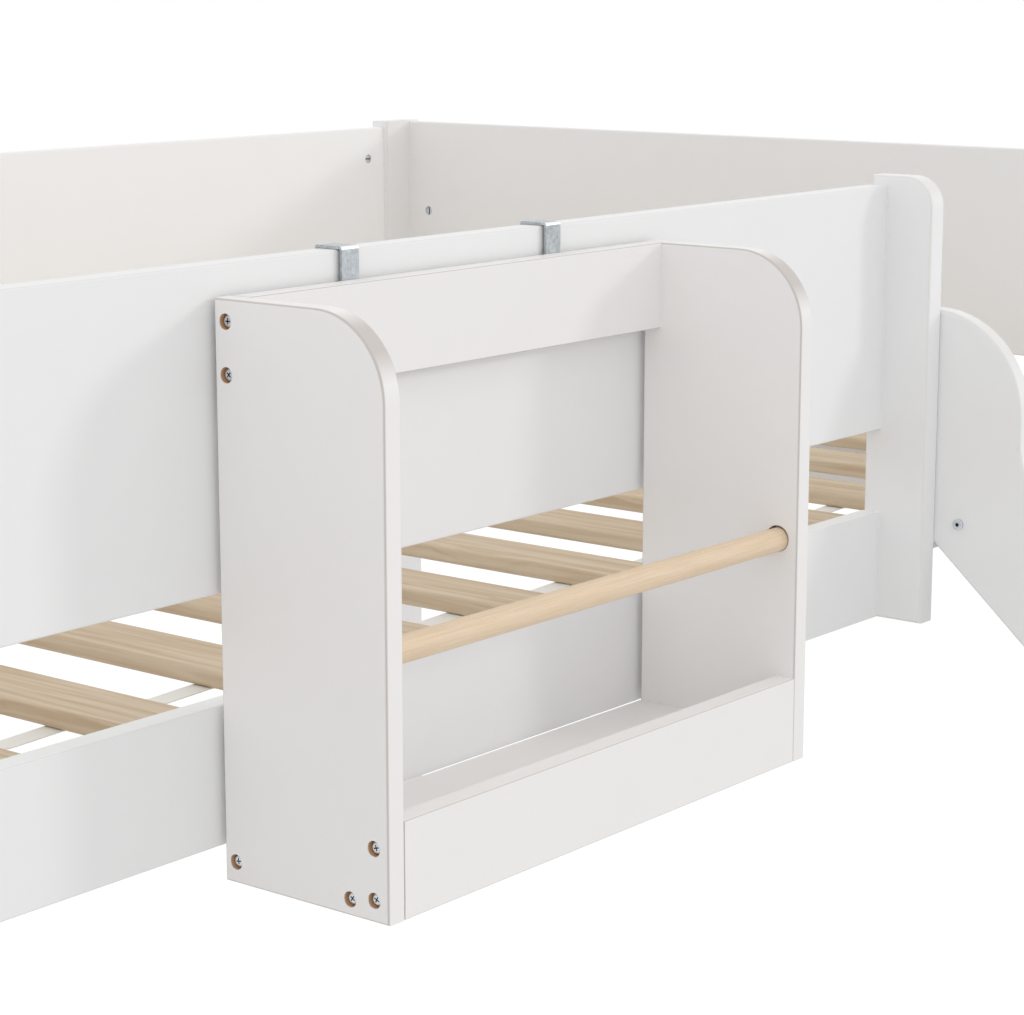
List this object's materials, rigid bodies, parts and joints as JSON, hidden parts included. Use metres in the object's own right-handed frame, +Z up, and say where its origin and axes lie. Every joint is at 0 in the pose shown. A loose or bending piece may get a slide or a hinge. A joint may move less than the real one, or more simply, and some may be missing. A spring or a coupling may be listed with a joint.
{
  "type": "loft bed with slide",
  "caption": "Low white loft bed with guard boards, slatted base, ladder, slide and a hanging book shelf hooked over the front guard.",
  "frame": {"origin": "on the floor, under the middle of the bounding box", "axes": "+X along the bed from the ladder end to the slide end, +Y from the front with the slide to the back board, +Z up"},
  "size_m": [2.056, 1.956, 0.9884],
  "materials": {
    "white_paint": "fibreboard and solid wood with satin white paint",
    "shelf_paint": "fibreboard with satin white paint, raw brown in the screw counterbores",
    "slide_laminate": "thin fibreboard with glossy white laminate",
    "pine": "planed untreated softwood",
    "beech": "turned and sanded pale hardwood",
    "ribbon": "woven off-white tape",
    "zinc": "bright zinc-plated strip",
    "plated_steel": "zinc-plated steel"
  },
  "bodies": {
    "bed": {"back_board": "white_paint", "back_rail": "white_paint", "barrel_nuts": "plated_steel", "end_board_left": "white_paint", "end_board_right": "white_paint", "end_rail_left": "white_paint", "end_rail_right": "white_paint", "frame_bolts": "plated_steel", "front_guard": "white_paint", "front_rail": "white_paint", "hang_bolts": "plated_steel", "joint_dowels": "beech", "ladder_head_board": "white_paint", "ladder_screws": "plated_steel", "ladder_stile_left": "white_paint", "ladder_stile_right": "white_paint", "ladder_tread_1": "white_paint", "ladder_tread_2": "white_paint", "ladder_tread_3": "white_paint", "ledger_back": "white_paint", "ledger_front": "white_paint", "ledger_screws": "plated_steel", "leg_back_left": "white_paint", "leg_back_right": "white_paint", "leg_front_left": "white_paint", "leg_front_right": "white_paint", "post_board_left": "white_paint", "post_board_right": "white_paint", "slat_ribbons": "ribbon", "slat_screws": "plated_steel", "slats": "pine", "slide_battens": "white_paint", "slide_bolts": "plated_steel", "slide_chute": "slide_laminate", "slide_head_board": "white_paint", "slide_side_left": "white_paint", "slide_side_right": "white_paint"},
    "hanging_shelf": {"shelf_side_left": "shelf_paint", "shelf_side_right": "shelf_paint", "shelf_upper_board": "shelf_paint", "shelf_bottom_board": "shelf_paint", "shelf_lip": "shelf_paint", "shelf_screws": "plated_steel", "shelf_hooks": "zinc", "hook_screws": "plated_steel"},
    "book_rail": {"book_rail": "beech"}
  },
  "joints": [
    {"name": "shelf_lift", "type": "slide", "parent": "bed", "child": "hanging_shelf", "axis": [0, 0, 1], "range_m": [0, 0.06]},
    {"name": "book_rail_turn", "type": "hinge", "parent": "hanging_shelf", "child": "book_rail", "pos_m": [-0.0215, -0.107, 0.7448], "axis": [1, 0, 0], "continuous": true}
  ]
}
